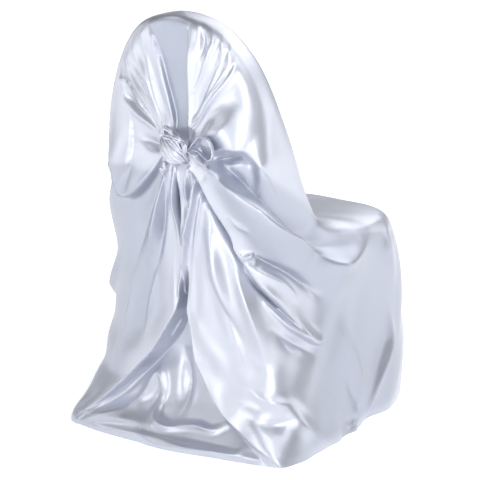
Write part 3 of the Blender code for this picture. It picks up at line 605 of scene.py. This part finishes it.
def folded_cover(rays, rings, strength):
    """Grid of points of the cover with its folds, rings from the knot to the hem, its chart and its painted
    shade.

    Each point of the plain cover moves along its normal by the sum of the folds' heights, and sideways by
    the sum of their leans.
    """
    angle, reach = ray_grid(rays, rings)
    level, heading = level_and_heading(angle, reach)
    plain = plain_cover(level, heading)
    normal = outward(plain)
    chart = np.stack(chart_of(plain, level, heading), axis=-1)
    flat_chart = chart.reshape(-1, 2)
    at_rear = plain[..., 1].ravel() > REAR_FACE
    push = panel_push(flat_chart, LOWER_PANEL) + panel_push(flat_chart, UPPER_PANEL) * at_rear
    from_knot = (flat_chart[:, 0] - GATHER_GIRTH) ** 2 + (flat_chart[:, 1] - KNOT_HEIGHT) ** 2
    push += GATHER_RISE * np.exp(-from_knot / GATHER_RADIUS**2)
    shift = np.zeros(flat_chart.shape)
    for row in FOLDS:
        add_fold(push, shift, flat_chart, row)
    share = np.broadcast_to(np.arange(rays) / rays, level.shape)
    push = (push.reshape(level.shape) + ripples(share, chart)) * strength
    shift = shift.reshape(level.shape + (2,)) * strength
    free = ease((reach - FIRST_RING) / KNOT_FADE)
    up = np.array([0.0, 0.0, 1.0]) - normal * normal[..., 2:]
    up /= np.maximum(np.linalg.norm(up, axis=-1, keepdims=True), 1e-6)
    round_way = np.cross(up, normal)
    steady = ease((plain[..., 2] - STEADY_HEIGHT) / STEADY_FADE)
    moved = plain + normal * (push * free)[..., None]
    moved += (round_way * shift[..., :1] + up * shift[..., 1:]) * (free * steady)[..., None]
    moved[..., 2] = np.maximum(moved[..., 2], 0.0)
    moved[-1, :, 2] = 0.0
    # Painted shade: the colour is darkened on the recessed panels and the side sheets, where the cloth lies
    # in shade.
    shade = layer_shade(flat_chart, UPPER_PANEL, UPPER_SHADE, PANEL_EDGE) * at_rear
    for rows, most, edge in SHADED_LAYERS:
        shade += layer_shade(flat_chart, rows, most, edge)
    return moved, chart, shade.reshape(level.shape)


def grid_faces(rows, columns):
    """Quads between the rows of a grid that closes round on itself."""
    number = np.arange(rows * columns).reshape(rows, columns)
    after = np.roll(number, -1, axis=1)
    return np.stack([number[:-1], number[1:], after[1:], after[:-1]], axis=-1).reshape(-1, 4).tolist()


def tip_faces(tip, first, columns, forward):
    """Triangles between a tip and a closed row of points, which turn over where forward is false."""
    here = first + np.arange(columns)
    after = first + (np.arange(columns) + 1) % columns
    row = (here, after) if forward else (after, here)
    return np.stack([np.full(columns, tip), *row], axis=-1).tolist()


def sheet_mesh(name, points, faces, uv=None, depth=None):
    """Object from points and faces, brought over the frame's origin and shaded smooth.

    Depth, where given, is each point's share of painted shade, which the satin reads as an attribute.
    """
    mesh = bpy.data.meshes.new(name)
    mesh.from_pydata((points.reshape(-1, 3) + MIDDLE_SHIFT).tolist(), [], faces)
    if uv is not None:
        layer = mesh.uv_layers.new(name="cloth")
        corners = np.empty(len(mesh.loops), dtype=np.int32)
        mesh.loops.foreach_get("vertex_index", corners)
        layer.data.foreach_set("uv", uv.reshape(-1, 2)[corners].ravel())
    if depth is not None:
        mesh.attributes.new("shade", "FLOAT", "POINT").data.foreach_set("value", depth.ravel())
    mesh.shade_smooth()
    piece = bpy.data.objects.new(name, mesh)
    bpy.context.scene.collection.objects.link(piece)
    return piece


def new_node(tree, kind, values, **settings):
    """Node of a kind, with its settings and then the values of its sockets."""
    node = tree.nodes.new(kind)
    for name, setting in settings.items():
        setattr(node, name, setting)
    for socket, value in values.items():
        node.inputs[socket].default_value = value
    return node


def satin_material(look):
    """Satin: a bright, slightly metallic weave with a fine grain, soft creases, the hem's stitches and
    painted shade.
    """
    material = bpy.data.materials.new(SATIN_NAME)
    material.use_nodes = True
    tree = material.node_tree
    shader = tree.nodes["Principled BSDF"]
    shader.inputs["Roughness"].default_value = look.roughness
    shader.inputs["Metallic"].default_value = look.metal
    shader.inputs["Sheen Weight"].default_value = 0.25
    shader.inputs["Sheen Roughness"].default_value = 0.4
    place = new_node(tree, "ShaderNodeTexCoord", {})
    tone = new_node(tree, "ShaderNodeTexNoise", {"Scale": 5.0, "Detail": 3.0})
    colours = {"A": (*look.shade_colour, 1.0), "B": (*look.cloth_colour, 1.0)}
    colour = new_node(tree, "ShaderNodeMix", colours, data_type="RGBA")
    # Painted shade: the shade attribute mixes the painted shade colour into the base colour.
    painted_shade_share = new_node(tree, "ShaderNodeAttribute", {}, attribute_name="shade")
    painted_shade_mix = new_node(tree, "ShaderNodeMix", {"B": (*look.painted_shade_colour, 1.0)}, data_type="RGBA")
    crease = new_node(tree, "ShaderNodeTexNoise", {"Scale": 28.0, "Detail": 4.0, "Distortion": 0.6})
    stretch = new_node(tree, "ShaderNodeMapping", {"Scale": (900.0, 180.0, 1.0)})
    weave = new_node(tree, "ShaderNodeTexNoise", {"Scale": 1.0, "Detail": 2.0})
    fine = new_node(tree, "ShaderNodeBump", {"Strength": look.weave_depth, "Distance": 0.0004})
    soft = new_node(tree, "ShaderNodeBump", {"Strength": look.crease_depth, "Distance": 0.004})
    chart = new_node(tree, "ShaderNodeSeparateXYZ", {})
    stitch = new_node(tree, "ShaderNodeMath", {1: STITCH_HEIGHT, 2: STITCH_WIDTH}, operation="COMPARE")
    seam = new_node(tree, "ShaderNodeBump", {"Strength": 0.6, "Distance": STITCH_DEPTH}, invert=True)
    for start, output, end, socket in (
        (place, "Object", tone, "Vector"),
        (tone, "Fac", colour, "Factor"),
        (painted_shade_share, "Fac", painted_shade_mix, "Factor"),
        (colour, "Result", painted_shade_mix, "A"),
        (painted_shade_mix, "Result", shader, "Base Color"),
        (place, "Object", crease, "Vector"),
        (place, "UV", stretch, "Vector"),
        (stretch, "Vector", weave, "Vector"),
        (place, "UV", chart, "Vector"),
        (chart, "Y", stitch, 0),
        (weave, "Fac", fine, "Height"),
        (crease, "Fac", soft, "Height"),
        (fine, "Normal", soft, "Normal"),
        (stitch, "Value", seam, "Height"),
        (soft, "Normal", seam, "Normal"),
        (seam, "Normal", shader, "Normal"),
    ):
        tree.links.new(start.outputs[output], end.inputs[socket])
    return material


def satin(look):
    """The satin material, made once for all pieces."""
    return bpy.data.materials.get(SATIN_NAME) or satin_material(look)


class CoverSizes(bpy.types.PropertyGroup):
    """Sizes of the cloth's grid and folds."""

    rays: IntProperty(name="Rays", description="Columns of the grid round the knot", default=480, min=90)
    rings: IntProperty(
        name="Rings", description="Rows of the grid from the knot to the hem", default=205, min=40
    )
    strength: FloatProperty(
        name="Fold strength", description="Share of the folds' rise that is applied", default=1.0,
        min=0.0, max=1.2
    )


class SatinLook(bpy.types.PropertyGroup):
    """Colour and finish of the satin."""

    cloth_colour: FloatVectorProperty(
        name="Cloth colour", description="Main colour of the satin", subtype="COLOR",
        default=(0.62, 0.64, 0.715)
    )
    shade_colour: FloatVectorProperty(
        name="Shade colour", description="Deeper tone of the satin", subtype="COLOR",
        default=(0.55, 0.58, 0.665)
    )
    # Colour of the painted shade on the recessed panels and the side sheets.
    painted_shade_colour: FloatVectorProperty(
        name="Painted shade colour", description="Tone of the deep and the shaded layers", subtype="COLOR",
        default=(0.40, 0.43, 0.51)
    )
    roughness: FloatProperty(
        name="Roughness", description="Roughness of the satin face", subtype="FACTOR", default=0.42
    )
    metal: FloatProperty(
        name="Lustre", description="Share of mirror-like reflection", subtype="FACTOR", default=0.85
    )
    weave_depth: FloatProperty(
        name="Weave depth", description="Strength of the fine grain", subtype="FACTOR", default=0.15
    )
    crease_depth: FloatProperty(
        name="Crease depth", description="Strength of the small creases", subtype="FACTOR", default=0.15
    )


class StudioLook(bpy.types.PropertyGroup):
    """Floor, lights and background."""

    floor_colour: FloatVectorProperty(
        name="Floor colour", description="Colour of the studio floor", subtype="COLOR",
        default=(0.90, 0.90, 0.90)
    )
    floor_glow: FloatProperty(
        name="Floor glow", description="Light that the floor gives", default=0.44, min=0.0
    )
    light_power: FloatProperty(
        name="Light power", description="Power of which each soft box gives its share", subtype="POWER",
        default=26.0, min=0.0
    )
    ambient: FloatProperty(
        name="Ambient light", description="Strength of the even light", default=0.23, min=0.0
    )


class CHAIRCOVER_OT_cloth(bpy.types.Operator):
    """Adds the cover's cloth: a grid of rays and rings pushed along its normals by the sum of its folds."""

    bl_idname = "chair_cover.cloth"
    bl_label = "Add the Cloth"

    def execute(self, context):
        sizes = context.scene.chair_cover_sizes
        points, chart, shade = folded_cover(sizes.rays, sizes.rings, sizes.strength)
        pole = points[0].mean(axis=0) - np.array([0.0, POLE_DEPTH, 0.0])
        pole_chart = chart[0].mean(axis=0)
        faces = grid_faces(sizes.rings, sizes.rays)
        faces += tip_faces(sizes.rings * sizes.rays, 0, sizes.rays, True)
        points = np.vstack([points.reshape(-1, 3), pole])
        chart = np.vstack([chart.reshape(-1, 2), pole_chart])
        shade = np.append(shade.ravel(), shade[0].mean())
        cloth = sheet_mesh("satin_cover", points, faces, chart, shade)
        cloth.data.materials.append(satin(context.scene.chair_cover_satin))
        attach(cloth, "root")
        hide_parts("cover_cloth")
        return {"FINISHED"}


def at_knot(rows):
    """Points given in millimetres from the knot's centre, in metres in the frame of the tables."""
    right, up, rear = np.moveaxis(np.asarray(rows, dtype=float) * MILLIMETRE, -1, 0)
    return KNOT_CENTRE + np.stack([-right, rear, up], axis=-1)


def smooth_path(rows, count):
    """Rows of a table at evenly spaced shares of its length, on smooth curves."""
    rows = np.asarray(rows, dtype=float)
    length = np.linalg.norm(np.diff(rows[:, :3], axis=0), axis=1)
    place = np.concatenate([[0.0], np.cumsum(length)])
    return smooth_rows(place / place[-1], rows, np.linspace(0.0, 1.0, count))


def strand_grid(rows, phase):
    """A gathered strand of cloth: an ellipse carried along a path, with its flat side on the knot.

    Pleats run along it, as a cosine across its width whose phase drifts along the path.
    """
    table = smooth_path(rows, STRAND_STEPS)
    centre = at_knot(table[:, :3])
    ahead = np.gradient(centre, axis=0)
    ahead /= np.linalg.norm(ahead, axis=1, keepdims=True)
    away = centre - (KNOT_CENTRE - np.array([0.0, STRAND_BACK, 0.0]))
    away -= ahead * (away * ahead).sum(axis=1, keepdims=True)
    away /= np.linalg.norm(away, axis=1, keepdims=True)
    across = np.cross(ahead, away)
    turn = np.arange(STRAND_SIDES) / STRAND_SIDES * 2 * np.pi
    share = np.linspace(0.0, 1.0, STRAND_STEPS)[:, None]
    width, depth = table[:, 3:4] * MILLIMETRE, table[:, 4:5] * MILLIMETRE
    drift = PLEAT_DRIFT * np.sin(PLEAT_DRIFT_RATE * share + phase) + phase
    pleat = np.cos(STRAND_PLEATS * np.pi * np.cos(turn) + drift)
    outer = 1.0 + PLEAT_DEPTH * pleat * np.clip(np.sin(turn) + 0.3, 0.0, 1.0)
    edge = width * np.cos(turn) * (1.0 + EDGE_DEPTH * np.sin(EDGE_WAVES * share + 2.0 * phase))
    rise = depth * np.sin(turn) * outer
    return centre[:, None] + across[:, None] * edge[..., None] + away[:, None] * rise[..., None]


def loop_grid():
    """The tie's loop: straight lines from its teardrop rim to its root, bulged outwards by a half sine."""
    rim_rows = np.array(LOOP_RIM + LOOP_RIM[:1], dtype=float)
    rim = smooth_path(rim_rows, LOOP_STEPS + 1)[:-1]
    rim = (np.roll(rim, 1, axis=0) + 2 * rim + np.roll(rim, -1, axis=0)) / 4
    root = np.array(LOOP_ROOT, dtype=float)
    inward = np.linspace(0.0, LOOP_INNER, LOOP_RINGS)[:, None, None]
    points = rim + (root - rim) * inward
    middle = rim.mean(axis=0)
    spread = (rim - middle) * np.array([1.0, 1.0, 0.0])
    spread /= np.maximum(np.linalg.norm(spread, axis=1, keepdims=True), 1e-6)
    bulge = np.sin(np.pi * inward ** 0.7) * (1.0 - inward)
    points = points + spread * bulge * LOOP_BULGE - np.array([0.0, 0.0, LOOP_SINK]) * bulge
    turn = np.arange(LOOP_STEPS) / LOOP_STEPS * 2 * np.pi
    swing = np.sin(np.pi * np.clip(inward[..., 0] * 1.6, 0, 1))
    ripple = LOOP_WAVE_DEPTH * np.sin(LOOP_WAVES * turn + 1.0) * swing
    return at_knot(points + spread * ripple[..., None])


class CHAIRCOVER_OT_knot(bpy.types.Operator):
    """Adds the knot: gathered strands, each an ellipse carried along its path round the knot's core."""

    bl_idname = "chair_cover.knot"
    bl_label = "Add the Knot"

    def execute(self, context):
        points, faces, count = [], [], 0
        for number, rows in enumerate(KNOT_STRANDS.values()):
            grid = strand_grid(rows, STRAND_PHASE * number)
            steps, sides = grid.shape[:2]
            faces += [[corner + count for corner in face] for face in grid_faces(steps, sides)]
            last = count + (steps - 1) * sides
            faces += tip_faces(count + steps * sides, count, sides, True)
            faces += tip_faces(count + steps * sides + 1, last, sides, False)
            points += [grid.reshape(-1, 3), grid[0].mean(axis=0)[None], grid[-1].mean(axis=0)[None]]
            count += steps * sides + 2
        knot = sheet_mesh("knotted_tie", np.vstack(points), faces)
        knot.data.materials.append(satin(context.scene.chair_cover_satin))
        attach(knot, "root")
        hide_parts("tie_knot")
        return {"FINISHED"}


class CHAIRCOVER_OT_loop(bpy.types.Operator):
    """Adds the tie's loop: a funnel from its teardrop rim to its root, with the cloth's thickness."""

    bl_idname = "chair_cover.loop"
    bl_label = "Add the Tie's Loop"

    def execute(self, context):
        grid = loop_grid()
        rings, steps = grid.shape[:2]
        points = np.vstack([grid.reshape(-1, 3), grid[-1].mean(axis=0)])
        faces = grid_faces(rings, steps) + tip_faces(rings * steps, (rings - 1) * steps, steps, False)
        loop = sheet_mesh("looped_tie", points, faces)
        loop.data.materials.append(satin(context.scene.chair_cover_satin))
        wall = loop.modifiers.new("cloth", "SOLIDIFY")
        wall.thickness = LOOP_CLOTH * MILLIMETRE
        wall.offset = 0.0
        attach(loop, "root")
        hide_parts("tie_loop")
        return {"FINISHED"}


def soft_box(name, place, size, power):
    """Rectangular white area light that faces the middle of the cover."""
    light = bpy.data.lights.new(name, "AREA")
    light.shape = "RECTANGLE"
    light.size, light.size_y = size
    light.energy = power
    holder = bpy.data.objects.new(name, light)
    bpy.context.scene.collection.objects.link(holder)
    holder.location = place
    ahead = Vector(LIGHT_TARGET) - Vector(place)
    holder.rotation_euler = ahead.to_track_quat("-Z", "Y").to_euler()


class CHAIRCOVER_OT_stage(bpy.types.Operator):
    """Adds the floor, the soft lights and the camera at the photograph's angle."""

    bl_idname = "chair_cover.stage"
    bl_label = "Add the Studio"

    def execute(self, context):
        look = context.scene.chair_cover_studio
        mesh = bpy.data.meshes.new("studio_floor")
        sides = [(-1, -1), (1, -1), (1, 1), (-1, 1)]
        corners = [(FLOOR_HALF * x, FLOOR_HALF * y, -FLOOR_DROP) for x, y in sides]
        mesh.from_pydata(corners, [], [(0, 1, 2, 3)])
        floor = bpy.data.objects.new("studio_floor", mesh)
        context.scene.collection.objects.link(floor)
        paint = bpy.data.materials.new("studio_paint")
        paint.use_nodes = True
        shader = paint.node_tree.nodes["Principled BSDF"]
        shader.inputs["Base Color"].default_value = (*look.floor_colour, 1.0)
        shader.inputs["Roughness"].default_value = 0.9
        shader.inputs["Emission Color"].default_value = WHITE
        tree, links = paint.node_tree, paint.node_tree.links
        spot = new_node(tree, "ShaderNodeTexCoord", {})
        middle = new_node(tree, "ShaderNodeVectorMath", {}, operation="LENGTH")
        reach = {"From Min": GLOW_NEAR, "From Max": GLOW_FAR}
        strength = {"To Min": look.floor_glow, "To Max": FAR_GLOW}
        glow = new_node(tree, "ShaderNodeMapRange", reach | strength)
        links.new(spot.outputs["Object"], middle.inputs[0])
        links.new(middle.outputs["Value"], glow.inputs["Value"])
        links.new(glow.outputs["Result"], shader.inputs["Emission Strength"])
        mesh.materials.append(paint)
        world = bpy.data.worlds.new("studio_world")
        context.scene.world = world
        world.use_nodes = True
        sky = world.node_tree.nodes["Background"]
        sky.inputs["Color"].default_value = WORLD_COLOUR
        sky.inputs["Strength"].default_value = look.ambient
        for name, place, width, height, share in SOFT_BOXES:
            soft_box(name, place, (width, height), share * look.light_power)
        data = bpy.data.cameras.new("photo_camera")
        camera = bpy.data.objects.new("photo_camera", data)
        context.scene.collection.objects.link(camera)
        data.sensor_width = SENSOR_WIDTH
        data.lens = CAMERA_FOCUS * SENSOR_WIDTH / FRAME_WIDTH
        data.clip_end = 100.0
        turn = Vector(CAMERA_AHEAD).to_track_quat("-Z", "Y")
        stand = Matrix.Translation(Vector(CAMERA_PLACE + MIDDLE_SHIFT))
        camera.matrix_world = stand @ turn.to_matrix().to_4x4()
        context.scene.camera = camera
        context.scene.view_settings.view_transform = "Standard"
        return {"FINISHED"}


class VIEW3D_PT_chair_cover(bpy.types.Panel):
    """Lists the steps and sizes of the chair cover."""

    bl_label = "Chair Cover"
    bl_space_type = "VIEW_3D"
    bl_region_type = "UI"
    bl_category = "Chair Cover"

    def draw(self, context):
        scene = context.scene
        for group in (scene.chair_cover_sizes, scene.chair_cover_satin, scene.chair_cover_studio):
            box = self.layout.box()
            for key in group.__annotations__:
                box.prop(group, key)
        for step in STEPS:
            self.layout.operator(step.bl_idname)


GROUPS = {"chair_cover_sizes": CoverSizes, "chair_cover_satin": SatinLook, "chair_cover_studio": StudioLook}
STEPS = (CHAIRCOVER_OT_stage, CHAIRCOVER_OT_knot, CHAIRCOVER_OT_loop, CHAIRCOVER_OT_cloth)


def register():
    """Registers the classes and hangs each group of properties on the scene."""
    for group in GROUPS.values():
        bpy.utils.register_class(group)
    for name, group in GROUPS.items():
        setattr(bpy.types.Scene, name, PointerProperty(type=group))
    for kind in (*STEPS, VIEW3D_PT_chair_cover):
        bpy.utils.register_class(kind)


def unregister():
    """Takes away all that register adds, in the opposite order."""
    for kind in (VIEW3D_PT_chair_cover, *reversed(STEPS)):
        bpy.utils.unregister_class(kind)
    for name in GROUPS:
        delattr(bpy.types.Scene, name)
    for group in reversed(GROUPS.values()):
        bpy.utils.unregister_class(group)


def main():
    """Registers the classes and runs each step."""
    register()
    bpy.ops.chair_cover.stage()
    bpy.ops.chair_cover.knot()
    bpy.ops.chair_cover.loop()
    bpy.ops.chair_cover.cloth()


if __name__ == "__main__":
    main()
